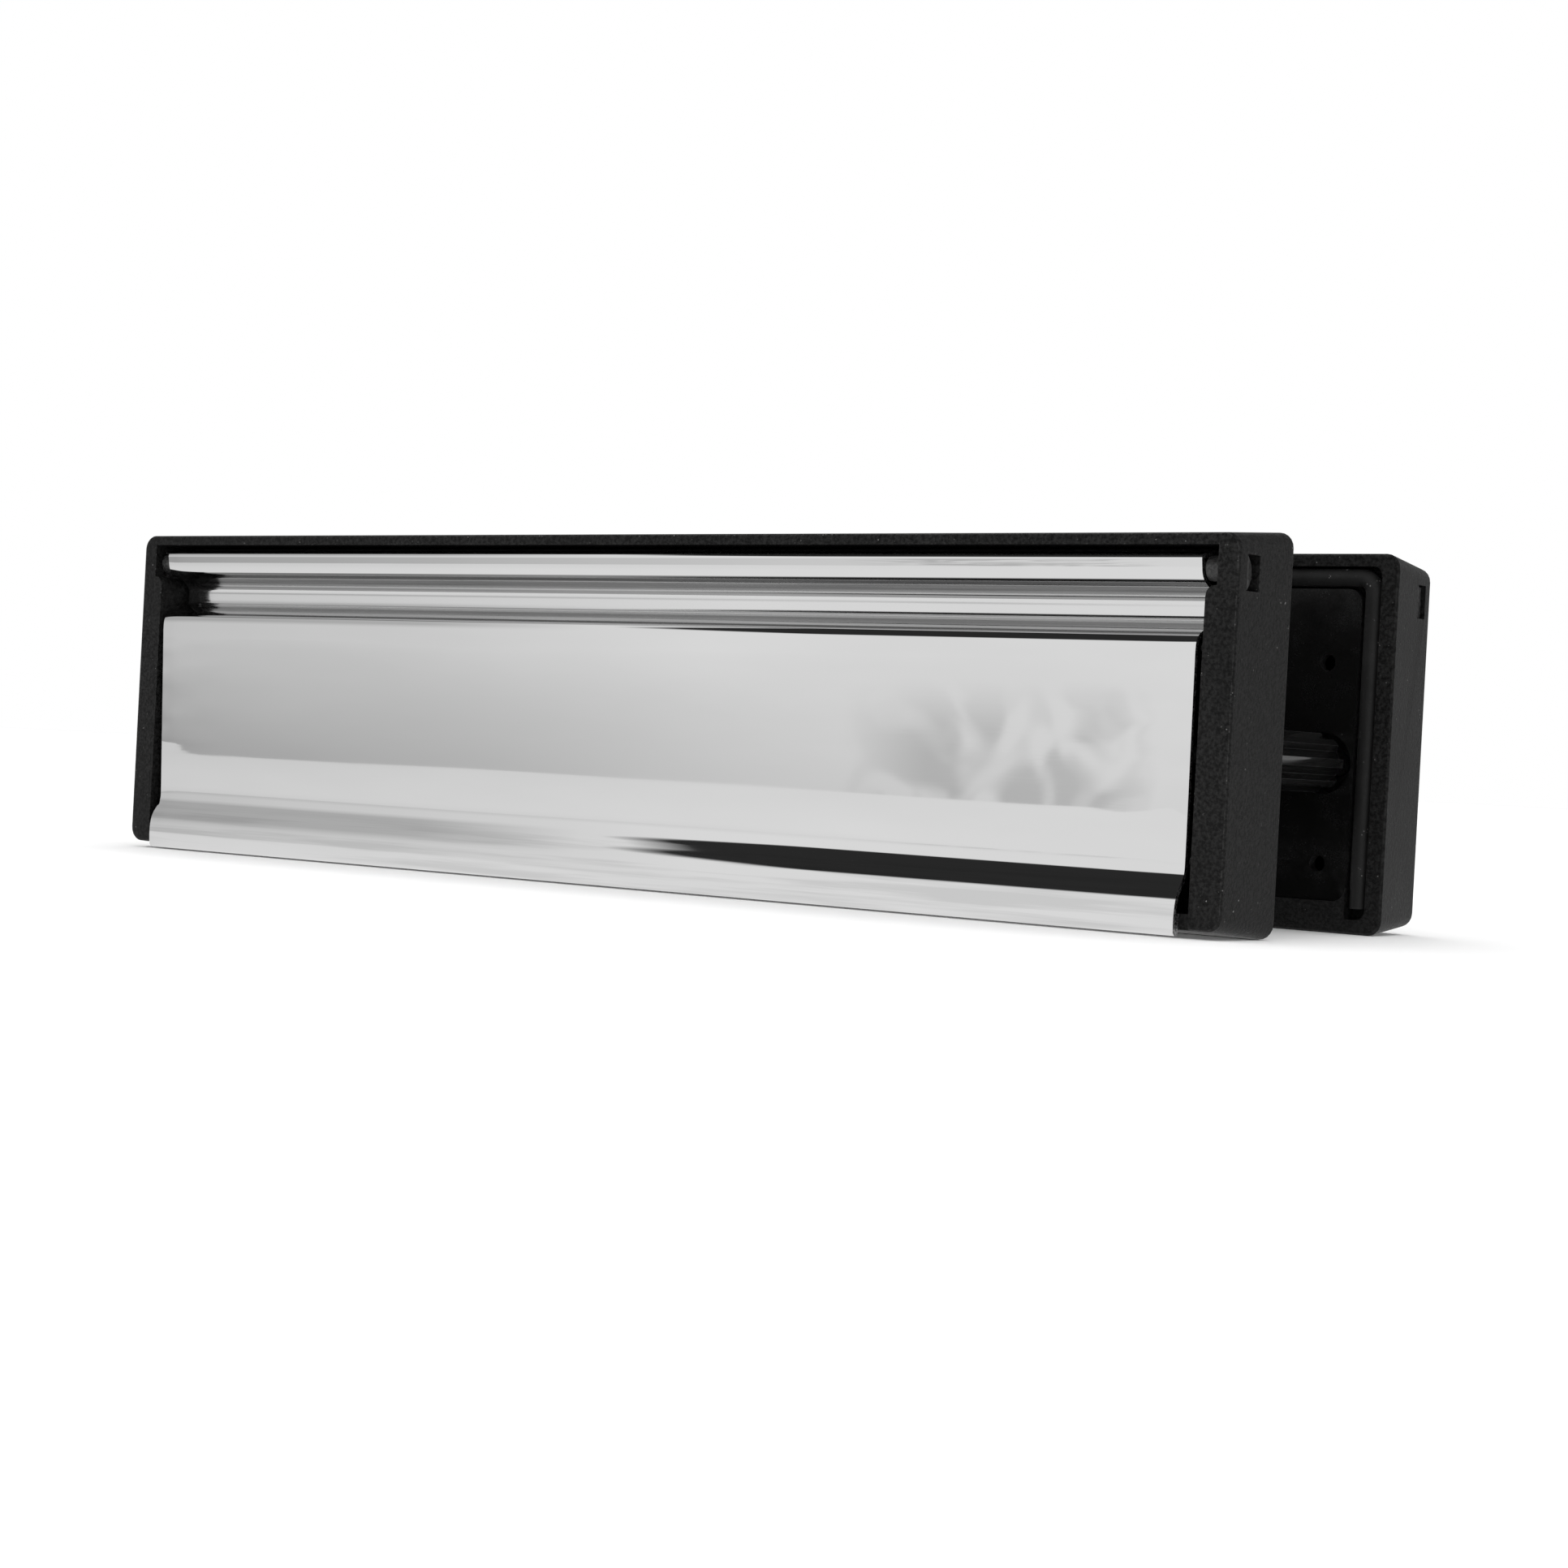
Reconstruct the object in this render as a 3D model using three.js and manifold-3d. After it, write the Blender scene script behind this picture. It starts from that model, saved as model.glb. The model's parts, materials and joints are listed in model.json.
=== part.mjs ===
// Telescopic letter plate for a door: an outer and an inner unit that clamp the door leaf between them.
// Each unit is a moulded frame with a sprung sheet-metal flap, a sleeve and a rubber cord seal.
// Millimetres. +X runs along the plate, the outer flap faces -Y, +Z is up.
// The origin is midway between the two units, at the height of the frames' lowest edge.
import * as THREE from 'three';
import { mergeVertices } from 'three/addons/utils/BufferGeometryUtils.js';
import Module from 'manifold-3d';

const wasm = await Module();
wasm.setup();

// Overall sizes
const LENGTH = 306;
const HEIGHT = 78;
const FRAME_DEPTH = 19;
const DOOR_THICKNESS = 46;
const DRAFT = 1.6;
const HALF = LENGTH / 2;
const FRONT_TO_MIDDLE = FRAME_DEPTH + DOOR_THICKNESS / 2;

// Frame moulding, with y measured from the frame's flap side towards the door
const CORNER_RADIUS = 3;
const OPENING_HALF = 144.7;
const NOTCH_HALF = 147.1;
const NOTCH_FLOOR = 66.5;
const OPENING_TOP = 74.2;
const BOTTOM_RAIL_TOP = 4.6;
const BOTTOM_RAIL_SETBACK = 0.6;
const WEB_FRONT = 15.4;
const WEB_EDGE_FRONT = 12.6;
const WEB_BACK = 18;
const APERTURE_CENTRE = 34.8;
const SCREW_X = 137.6;
const SCREW_SPACING = 41.5;
const SCREW_HOLE_RADIUS = 1.75;

// Gasket groove on the door side: up both sides and across the top
const GROOVE_CENTRE_X = 147;
const GROOVE_CENTRE_Z = 73.1;
const GROOVE_WIDTH = 4.6;
const GROOVE_FLOOR = 14.9;
const GROOVE_END = 3;
const CORD_END = 5.3;
const CORD_RADIUS = 2;

// Flap, pressed from one sheet
const FLAP_HALF = 143.3;
const FLAP_END_TAPER = 0.8;
const SHEET = 1;
const AXIS_Y = 4;
const AXIS_Z = 69.9;
const HEM_HEIGHT = 4.6;
const HEM_THICKNESS = 2.1;
const LIP_BOTTOM = 0.4;

// Hinge clip, pushed in through a slot in each side of the frame
const SLOT = { y0: 3.2, y1: 7.4, z0: 65.7, z1: 72.6 };
const CLIP_GAP = 0.3;
const PIN_RADIUS = 1.75;
const NOSE_RADIUS = 0.95;
const SPRING_RADIUS = 1.5;
const SPRING_WIRE = 0.5;
const SPRING_COILS = 7;

// Sleeves through the door
const SLEEVE_HALF_WIDTH = 125;
const SLEEVE_HALF_HEIGHT = 18.5;
const SLEEVE_WALL = 1.2;
const SLEEVE_GAP = 0.4;
const MOUTH_Y = 6;
const OUTER_SLEEVE_REACH = 43;
const INNER_SLEEVE_REACH = 54;

// Fixing posts on the outer unit and sockets for them in the inner unit
const POST_RADIUS = 6.1;
const POST_CORE = 4.4;
const POST_FINS = 8;
const POST_FIN_THICKNESS = 1.7;
const POST_CHAMFER = 1.7;
const POST_FLANGE_RADIUS = 8.3;
const SOCKET_RADIUS = 6.4;
const SOCKET_WALL = 2;
const SOCKET_FLOOR = 10.5;
const SOCKET_FLOOR_THICKNESS = 2;
const BOLT_RADIUS = 2.5;
const BOLT_LENGTH = 55;
const INSERT_RADIUS = 3.4;
const INSERT_LENGTH = 9;

const LOOKS = {
  nylon: { color: 0x262626, roughness: 0.55, metalness: 0 },
  gloss: { color: 0x161616, roughness: 0.25, metalness: 0 },
  rubber: { color: 0x1b1b1b, roughness: 0.8, metalness: 0 },
  polished: { color: 0xc8c9ca, roughness: 0.08, metalness: 1 },
  steel: { color: 0x9a9b9d, roughness: 0.35, metalness: 1 },
  brass: { color: 0xb08d4c, roughness: 0.35, metalness: 1 },
};

const letterPlate = new THREE.Group();
letterPlate.name = 'letter_plate';

// ---------- solids ----------

function toManifold(geometry) {
  const bare = new THREE.BufferGeometry();
  bare.setAttribute('position', geometry.getAttribute('position'));
  bare.setIndex(geometry.getIndex());
  const merged = mergeVertices(bare, 1e-4);
  return new wasm.Manifold(new wasm.Mesh({
    numProp: 3,
    vertProperties: new Float32Array(merged.getAttribute('position').array),
    triVerts: new Uint32Array(merged.getIndex().array),
  }));
}

function toGeometry(manifold) {
  const mesh = manifold.getMesh();
  const geometry = new THREE.BufferGeometry();
  geometry.setAttribute('position', new THREE.BufferAttribute(new Float32Array(mesh.vertProperties), 3));
  geometry.setIndex(new THREE.BufferAttribute(new Uint32Array(mesh.triVerts), 1));
  return geometry;
}

function union(solids) {
  return solids.slice(1).reduce((sum, next) => sum.add(next), solids[0]);
}

function cut(body, tools) {
  return tools.reduce((rest, tool) => rest.subtract(tool), body);
}

function box(x0, x1, y0, y1, z0, z1) {
  const geometry = new THREE.BoxGeometry(x1 - x0, y1 - y0, z1 - z0);
  geometry.translate((x0 + x1) / 2, (y0 + y1) / 2, (z0 + z1) / 2);
  return toManifold(geometry);
}

// A prism along Y from a shape drawn in X and Z
function prismY(shape, y0, y1, segments = 6) {
  const geometry = new THREE.ExtrudeGeometry(shape, {
    depth: y1 - y0, bevelEnabled: false, curveSegments: segments,
  });
  geometry.rotateX(Math.PI / 2);
  geometry.translate(0, y1, 0);
  return toManifold(geometry);
}

// A prism along X from a shape drawn in Y and Z
function prismX(shape, x0, x1, segments = 6) {
  const geometry = new THREE.ExtrudeGeometry(shape, {
    depth: x1 - x0, bevelEnabled: false, curveSegments: segments,
  });
  const turn = new THREE.Matrix4().makeBasis(
    new THREE.Vector3(0, 1, 0), new THREE.Vector3(0, 0, 1), new THREE.Vector3(1, 0, 0));
  geometry.applyMatrix4(turn);
  geometry.translate(x0, 0, 0);
  return toManifold(geometry);
}

function rodY(radius, y0, y1, x, z, segments = 32) {
  const geometry = new THREE.CylinderGeometry(radius, radius, y1 - y0, segments);
  geometry.translate(x, (y0 + y1) / 2, z);
  return toManifold(geometry);
}

function rodX(radius, x0, x1, y, z, segments = 32) {
  const geometry = new THREE.CylinderGeometry(radius, radius, x1 - x0, segments);
  geometry.rotateZ(Math.PI / 2);
  geometry.translate((x0 + x1) / 2, y, z);
  return toManifold(geometry);
}

// A tapered round bar along Y; widthAt lists [y, radius] from the flap side to the door side
function turnedY(widthAt, x, z, segments = 32) {
  const rings = widthAt.map(([y, radius]) => Array.from({ length: segments }, (_, i) => {
    const angle = i * 2 * Math.PI / segments;
    return new THREE.Vector3(x + radius * Math.cos(angle), y, z + radius * Math.sin(angle));
  }));
  return loft(rings);
}

// A closed skin through rings of equal length, each anticlockwise when seen from -Y
function loft(rings) {
  const count = rings[0].length;
  const positions = rings.flat().flatMap((p) => [p.x, p.y, p.z]);
  const index = [];
  for (let i = 1; i < count - 1; i += 1) {
    const last = (rings.length - 1) * count;
    index.push(0, i, i + 1);
    index.push(last, last + i + 1, last + i);
  }
  for (let ring = 0; ring < rings.length - 1; ring += 1) {
    for (let i = 0; i < count; i += 1) {
      const a = ring * count + i;
      const b = ring * count + (i + 1) % count;
      index.push(a, a + count, b, b, a + count, b + count);
    }
  }
  const geometry = new THREE.BufferGeometry();
  geometry.setAttribute('position', new THREE.Float32BufferAttribute(positions, 3));
  geometry.setIndex(index);
  return toManifold(geometry);
}

function roundedRing(halfWidth, low, high, radius, y, steps = 5) {
  const corners = [
    [halfWidth - radius, low + radius, -90],
    [halfWidth - radius, high - radius, 0],
    [-halfWidth + radius, high - radius, 90],
    [-halfWidth + radius, low + radius, 180],
  ];
  return corners.flatMap(([x, z, start]) => Array.from({ length: steps + 1 }, (_, i) => {
    const angle = THREE.MathUtils.degToRad(start + i * 90 / steps);
    return new THREE.Vector3(x + radius * Math.cos(angle), y, z + radius * Math.sin(angle));
  }));
}

function roundedShape(halfWidth, low, high, radius) {
  const points = roundedRing(halfWidth, low, high, radius, 0);
  return new THREE.Shape(points.map((p) => new THREE.Vector2(p.x, p.z)));
}

// ---------- placing ----------

// Pieces are drawn for the outer unit; the inner unit is the same unit turned half a turn about Z
function addPiece(name, solid, look, unit = 'outer') {
  const geometry = toGeometry(solid);
  geometry.translate(0, -FRONT_TO_MIDDLE, 0);
  if (unit === 'inner') {
    geometry.rotateZ(Math.PI);
  }
  geometry.computeVertexNormals();
  const mesh = new THREE.Mesh(geometry, new THREE.MeshStandardMaterial(LOOKS[look]));
  mesh.name = name;
  letterPlate.add(mesh);
}

// Left and right as seen from the outer unit's flap side
function sideName(unit, side) {
  const seen = unit === 'outer' ? side : -side;
  return seen > 0 ? 'right' : 'left';
}

// The stretch of X from near to far on one side, as [low, high]
function span(side, near, far) {
  return side > 0 ? [near, far] : [-far, -near];
}

// ---------- frame ----------

function frameShell() {
  const edge = 0.8;
  const rows = [[0, edge], [0.24, 0.24], [edge, 0], [FRAME_DEPTH - 0.4, 0], [FRAME_DEPTH, 0.4]];
  return loft(rows.map(([y, inset]) => {
    const lean = DRAFT * Math.max(0, 1 - y / (FRAME_DEPTH - 0.4)) + inset;
    return roundedRing(HALF - lean, lean, HEIGHT - lean, CORNER_RADIUS, y);
  }));
}

// Front opening: wider at the hinge, with a rounded shoulder where the cheek steps in
function openingShape() {
  const shoulder = 2.4;
  const half = OPENING_HALF;
  const notch = NOTCH_HALF;
  const top = OPENING_TOP;
  const bottom = BOTTOM_RAIL_TOP;
  const shape = new THREE.Shape();
  shape.moveTo(-half, bottom);
  shape.lineTo(half, bottom);
  shape.lineTo(half, NOTCH_FLOOR - shoulder);
  shape.quadraticCurveTo(half, NOTCH_FLOOR, notch, NOTCH_FLOOR);
  shape.lineTo(notch, top);
  shape.lineTo(-notch, top);
  shape.lineTo(-notch, NOTCH_FLOOR);
  shape.quadraticCurveTo(-half, NOTCH_FLOOR, -half, NOTCH_FLOOR - shoulder);
  shape.closePath();
  return shape;
}

function frameCutters() {
  const grooveIn = GROOVE_CENTRE_X - GROOVE_WIDTH / 2;
  const grooveOut = GROOVE_CENTRE_X + GROOVE_WIDTH / 2;
  const grooveTop = GROOVE_CENTRE_Z + GROOVE_WIDTH / 2;
  const grooveUnder = GROOVE_CENTRE_Z - GROOVE_WIDTH / 2;
  const groove = prismY(roundedShape(grooveOut, GROOVE_END, grooveTop, 2), GROOVE_FLOOR, FRAME_DEPTH + 1)
    .subtract(prismY(roundedShape(grooveIn, -10, grooveUnder, 3), 0, FRAME_DEPTH + 2));
  const tools = [
    prismY(openingShape(), -1, WEB_EDGE_FRONT),
    prismY(roundedShape(140.5, 7, 69, 3), 5, WEB_FRONT),
    prismY(roundedShape(grooveIn, 6.5, grooveUnder, 3), WEB_BACK, FRAME_DEPTH + 1),
    groove,
    box(-OPENING_HALF, OPENING_HALF, -1, BOTTOM_RAIL_SETBACK, -1, BOTTOM_RAIL_TOP + 1),
  ];
  for (const side of [-1, 1]) {
    tools.push(box(...span(side, NOTCH_HALF - 1, HALF + 1), SLOT.y0, SLOT.y1, SLOT.z0, SLOT.z1));
    for (const offset of [-1, 1]) {
      const z = APERTURE_CENTRE + offset * SCREW_SPACING / 2;
      tools.push(rodY(SCREW_HOLE_RADIUS, 10, FRAME_DEPTH + 1, side * SCREW_X, z, 24));
    }
    // Hollow behind the side rail's face, open to the gasket groove
    tools.push(box(...span(side, 147, 149), 3, GROOVE_FLOOR + 1, 8, 62));
  }
  return tools;
}

function apertureCutter() {
  return prismY(roundedShape(SLEEVE_HALF_WIDTH + 0.3, APERTURE_CENTRE - SLEEVE_HALF_HEIGHT - 0.3,
    APERTURE_CENTRE + SLEEVE_HALF_HEIGHT + 0.3, 2.3), 5, FRAME_DEPTH + 1);
}

// A disc along Y that stops short of the cheeks
function trimmedDisc(radius, halfLimit, y0, y1, side) {
  return rodY(radius, y0, y1, side * SCREW_X, APERTURE_CENTRE, 36)
    .intersect(box(-halfLimit, halfLimit, y0 - 1, y1 + 1, 0, HEIGHT));
}

function outerFrame() {
  const seats = [-1, 1].flatMap((side) => [
    rodY(POST_RADIUS + 0.3, 5, FRAME_DEPTH + 1, side * SCREW_X, APERTURE_CENTRE),
    trimmedDisc(POST_FLANGE_RADIUS + 0.3, OPENING_HALF, 5, WEB_FRONT, side),
  ]);
  return cut(frameShell(), [...frameCutters(), apertureCutter(), ...seats]);
}

// The inner frame carries a socket for each post, with the bolt's seat on the other side of its floor
function innerFrame() {
  const boss = SOCKET_RADIUS + SOCKET_WALL;
  const bossFront = 3.6;
  const seat = SOCKET_FLOOR - SOCKET_FLOOR_THICKNESS;
  const bosses = [];
  const tools = [];
  for (const side of [-1, 1]) {
    const x = side * SCREW_X;
    bosses.push(trimmedDisc(boss, OPENING_HALF + 1, bossFront, GROOVE_FLOOR - 0.5, side));
    bosses.push(trimmedDisc(boss, OPENING_HALF - 0.1, GROOVE_FLOOR - 1, WEB_BACK - 1, side));
    tools.push(rodY(SOCKET_RADIUS, SOCKET_FLOOR, FRAME_DEPTH + 1, x, APERTURE_CENTRE));
    tools.push(rodY(BOLT_RADIUS + 0.3, 0, FRAME_DEPTH, x, APERTURE_CENTRE, 24));
    tools.push(rodY(6, bossFront - 1, seat, x, APERTURE_CENTRE));
  }
  const moulding = union([cut(frameShell(), [...frameCutters(), apertureCutter()]), ...bosses]);
  return cut(moulding, tools);
}

// ---------- flap ----------

// Outer surface of the sheet from the hem up to the roll, as [y, z]; the plate's foot leans back a little
const FLAP_LINE = [
  [-1.7, 1.45], [-1.78, 2.6], [-1.8, 4.2], [-1.74, 5.3], [-1.62, 6.3], [-1.42, 7.3], [-1.1, 8.2],
  [-0.68, 9], [-0.1, 9.75], [0.42, 10.4], [0.86, 11.05], [1.18, 11.75], [1.36, 12.6], [1.4, 13.6],
  [0, 53.4], [0, 54.8], [0.1, 55.7], [0.32, 56.4], [0.8, 57], [1.45, 57.5], [2.3, 58],
  [3.5, 58.55], [4.8, 59.05], [5.9, 59.45], [6.9, 59.85], [7.5, 60.35], [7.76, 61.1], [7.83, 62],
  [7.85, 62.9], [7.72, 63.8], [7.25, 64.6], [6.5, 65.2], [5.7, 65.65], [4.95, 65.92], [4.2, 66.15],
  [3.5, 66.46],
];

// The D-shaped roll round the hinge pin: lower front, top front corner and back, as arcs
const ROLL_ARCS = [
  { y: AXIS_Y, z: AXIS_Z, radius: 3.2, start: 248, end: 182, steps: 7 },
  { y: 1.6, z: 71.5, radius: 1.1, start: 178, end: 92, steps: 6 },
  { y: AXIS_Y, z: AXIS_Z, radius: 3.1, start: 100, end: -25, steps: 12 },
];

function flapOuterLine() {
  const roll = ROLL_ARCS.flatMap(({ y, z, radius, start, end, steps }) => (
    Array.from({ length: steps + 1 }, (_, i) => {
      const angle = THREE.MathUtils.degToRad(start + (end - start) * i / steps);
      return [y + radius * Math.cos(angle), z + radius * Math.sin(angle)];
    })));
  return [...FLAP_LINE, ...roll].map(([y, z]) => new THREE.Vector2(y, z));
}

// The line moved sideways by the sheet's thickness, to the right of its direction
function offsetLine(line, distance) {
  return line.map((point, i) => {
    const before = line[Math.max(i - 1, 0)];
    const after = line[Math.min(i + 1, line.length - 1)];
    const along = after.clone().sub(before).normalize();
    return new THREE.Vector2(point.x + along.y * distance, point.y - along.x * distance);
  });
}

function flapSection() {
  const outside = flapOuterLine();
  const inside = offsetLine(outside, SHEET).filter((p) => p.y > HEM_HEIGHT + 0.2);
  const hemBack = outside[0].x + HEM_THICKNESS;
  const half = HEM_THICKNESS / 2;
  const fold = [];
  for (let i = 0; i <= 8; i += 1) {
    const angle = Math.PI * i / 8;
    fold.push(new THREE.Vector2(
      hemBack - half + half * Math.cos(angle), LIP_BOTTOM + half - half * Math.sin(angle)));
  }
  const hem = [
    new THREE.Vector2(hemBack - 0.14, HEM_HEIGHT),
    new THREE.Vector2(hemBack - 0.02, HEM_HEIGHT - 0.5),
  ];
  return new THREE.Shape([...outside, ...inside.reverse(), ...hem, ...fold]);
}

// The two ends are cut a little out of square, so that the flap is shorter at its foot
function flap() {
  const outline = new THREE.Shape([
    new THREE.Vector2(-FLAP_HALF + FLAP_END_TAPER, 0), new THREE.Vector2(FLAP_HALF - FLAP_END_TAPER, 0),
    new THREE.Vector2(FLAP_HALF, 60), new THREE.Vector2(FLAP_HALF, 80),
    new THREE.Vector2(-FLAP_HALF, 80), new THREE.Vector2(-FLAP_HALF, 60),
  ]);
  return prismX(flapSection(), -FLAP_HALF, FLAP_HALF).intersect(prismY(outline, -10, 20));
}

// ---------- hinge ----------

// One moulded clip: a barbed head in the frame's slot, a collar, the pin and a nose for the spring
function hingeClip(side) {
  const y0 = SLOT.y0 + CLIP_GAP;
  const z0 = SLOT.z0 + CLIP_GAP;
  const z1 = SLOT.z1 - CLIP_GAP;
  const head = new THREE.Shape();
  head.moveTo(y0, z0);
  head.lineTo(y0 + 1.4, z0);
  head.quadraticCurveTo(y0 + 4.6, (z0 + z1) / 2, y0 + 1.4, z1);
  head.lineTo(y0, z1);
  head.closePath();
  return union([
    prismX(head, ...span(side, NOTCH_HALF - 0.7, HALF - 2.2)),
    rodX(PIN_RADIUS + 0.7, ...span(side, FLAP_HALF + 0.4, NOTCH_HALF - 0.5), AXIS_Y, AXIS_Z),
    rodX(PIN_RADIUS, ...span(side, FLAP_HALF - 6, NOTCH_HALF - 0.6), AXIS_Y, AXIS_Z),
    rodX(NOSE_RADIUS, ...span(side, FLAP_HALF - 16, FLAP_HALF - 5), AXIS_Y, AXIS_Z, 16),
  ]);
}

class SpringPath extends THREE.Curve {
  constructor(start, length) {
    super();
    this.start = start;
    this.length = length;
  }

  getPoint(t, target = new THREE.Vector3()) {
    const angle = t * SPRING_COILS * 2 * Math.PI;
    return target.set(this.start + this.length * t,
      AXIS_Y + SPRING_RADIUS * Math.cos(angle), AXIS_Z + SPRING_RADIUS * Math.sin(angle));
  }
}

function roundWire(radius, sides) {
  const points = Array.from({ length: sides }, (_, i) => {
    const angle = i * 2 * Math.PI / sides;
    return new THREE.Vector2(radius * Math.cos(angle), radius * Math.sin(angle));
  });
  return new THREE.Shape(points);
}

function hingeSpring(side) {
  const start = FLAP_HALF - 15.5;
  const path = new SpringPath(side * start, side * 9);
  const geometry = new THREE.ExtrudeGeometry(roundWire(SPRING_WIRE / 2, 5), {
    steps: SPRING_COILS * 10, extrudePath: path, bevelEnabled: false,
  });
  return toManifold(geometry);
}

// ---------- rubber ----------

function cordGasket() {
  const radius = 3;
  const x = GROOVE_CENTRE_X;
  const z = GROOVE_CENTRE_Z;
  const y = FRAME_DEPTH - 1.85;
  const low = CORD_END;
  const at = (px, pz) => new THREE.Vector3(px, y, pz);
  const bend = (cx, start) => Array.from({ length: 7 }, (_, i) => {
    const angle = THREE.MathUtils.degToRad(start - i * 15);
    return at(cx + radius * Math.cos(angle), z - radius + radius * Math.sin(angle));
  });
  const line = [at(-x, low), ...bend(-x + radius, 180), ...bend(x - radius, 90), at(x, low)];
  return sweptCord(line, CORD_RADIUS, 14);
}

// A round cord through points that lie in one plane of constant Y
function sweptCord(line, radius, sides) {
  const rings = line.map((point, i) => {
    const before = line[Math.max(i - 1, 0)];
    const after = line[Math.min(i + 1, line.length - 1)];
    const along = after.clone().sub(before).normalize();
    const across = new THREE.Vector3(-along.z, 0, along.x);
    return Array.from({ length: sides }, (_, k) => {
      const angle = k * 2 * Math.PI / sides;
      return point.clone()
        .addScaledVector(across, radius * Math.cos(angle))
        .add(new THREE.Vector3(0, radius * Math.sin(angle), 0));
    });
  });
  return loft(rings);
}

// A rubber channel on the sleeve's mouth that the closed flap rests against
function mouthSeal(halfWidth, halfHeight) {
  const low = APERTURE_CENTRE - halfHeight;
  const high = APERTURE_CENTRE + halfHeight;
  const grow = (by, y0, y1) => prismY(roundedShape(halfWidth + by, low - by, high + by, 2), y0, y1);
  return grow(1.7, 2.7, 8.4).subtract(grow(0.3, MOUTH_Y - 0.3, 10)).subtract(grow(-SLEEVE_WALL, 0, 10));
}

// ---------- sleeves ----------

function sleeve(halfWidth, halfHeight, reach) {
  const low = APERTURE_CENTRE - halfHeight;
  const high = APERTURE_CENTRE + halfHeight;
  const flangeLow = APERTURE_CENTRE - SLEEVE_HALF_HEIGHT - 4.2;
  const flangeHigh = APERTURE_CENTRE + SLEEVE_HALF_HEIGHT + 4.2;
  const tube = prismY(roundedShape(halfWidth, low, high, 2), MOUTH_Y, FRAME_DEPTH + reach);
  const flange = prismY(roundedShape(SLEEVE_HALF_WIDTH + 3.8, flangeLow, flangeHigh, 2), 13.9, 15.1);
  const boreOutline = roundedShape(halfWidth - SLEEVE_WALL, low + SLEEVE_WALL, high - SLEEVE_WALL, 1);
  const bore = prismY(boreOutline, 0, FRAME_DEPTH + reach + 1);
  return union([tube, flange]).subtract(bore);
}

// ---------- posts and bolts ----------

function fixingPost(side) {
  const x = side * SCREW_X;
  const z = APERTURE_CENTRE;
  const tip = FRAME_DEPTH + DOOR_THICKNESS;
  const envelope = turnedY([
    [WEB_BACK - 0.5, POST_RADIUS], [tip - POST_CHAMFER, POST_RADIUS],
    [tip, POST_RADIUS - POST_CHAMFER]], x, z, 40);
  const fins = Array.from({ length: POST_FINS / 2 }, (_, i) => {
    const geometry = new THREE.BoxGeometry(2 * POST_RADIUS + 2, tip - WEB_BACK, POST_FIN_THICKNESS);
    geometry.rotateY(i * 2 * Math.PI / POST_FINS);
    geometry.translate(x, (tip + WEB_BACK) / 2, z);
    return toManifold(geometry);
  });
  const ribbed = union([rodY(POST_CORE, WEB_BACK, tip, x, z, 32), ...fins]).intersect(envelope);
  const flange = trimmedDisc(POST_FLANGE_RADIUS, OPENING_HALF - 0.3, 13.6, 15.1, side);
  const base = union([flange, rodY(POST_RADIUS, 15, WEB_BACK + 0.5, x, z, 40)]);
  return cut(union([ribbed, base]), [
    rodY(BOLT_RADIUS + 0.3, 0, tip + 1, x, z, 24),
    rodY(INSERT_RADIUS + 0.3, tip - INSERT_LENGTH - 0.6, tip + 1, x, z, 24),
  ]);
}

function brassInsert(side) {
  const x = side * SCREW_X;
  const z = APERTURE_CENTRE;
  const tip = FRAME_DEPTH + DOOR_THICKNESS - 0.3;
  const back = tip - INSERT_LENGTH;
  const body = turnedY([
    [back, INSERT_RADIUS - 0.4], [back + 0.4, INSERT_RADIUS], [back + 4, INSERT_RADIUS],
    [back + 4.2, INSERT_RADIUS - 0.4], [back + 4.9, INSERT_RADIUS - 0.4], [back + 5.1, INSERT_RADIUS],
    [tip, INSERT_RADIUS]], x, z, 24);
  return body.subtract(rodY(BOLT_RADIUS + 0.08, back - 1, tip + 1, x, z, 24));
}

// Drawn in the inner unit: the head sits on the socket's floor and the shank points at the outer unit
function fixingBolt(side) {
  const x = side * SCREW_X;
  const z = APERTURE_CENTRE;
  const under = SOCKET_FLOOR - SOCKET_FLOOR_THICKNESS - 0.3;
  const head = turnedY([
    [under - 2.7, 2.8], [under - 2.3, 3.9], [under - 1.2, 4.6], [under, 4.7]], x, z, 28);
  const shank = turnedY([
    [under - 0.5, BOLT_RADIUS], [under + BOLT_LENGTH - 0.8, BOLT_RADIUS],
    [under + BOLT_LENGTH, BOLT_RADIUS - 0.8]],
  x, z, 24);
  const recess = [0, 1].map((turn) => {
    const geometry = new THREE.BoxGeometry(turn ? 1 : 4.6, 1.8, turn ? 4.6 : 1);
    geometry.translate(x, under - 2.4, z);
    return toManifold(geometry);
  });
  return cut(union([head, shank]), recess);
}

function boltCover(side) {
  const x = side * SCREW_X;
  const z = APERTURE_CENTRE;
  const disc = turnedY([[3.5, 5.1], [3.9, 5.6], [4.9, 5.7]], x, z, 32);
  const skirt = rodY(5.6, 4.5, 7.8, x, z, 32).subtract(rodY(5, 4.6, 9, x, z, 32));
  return union([disc, skirt]);
}

// ---------- assembly ----------

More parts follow.
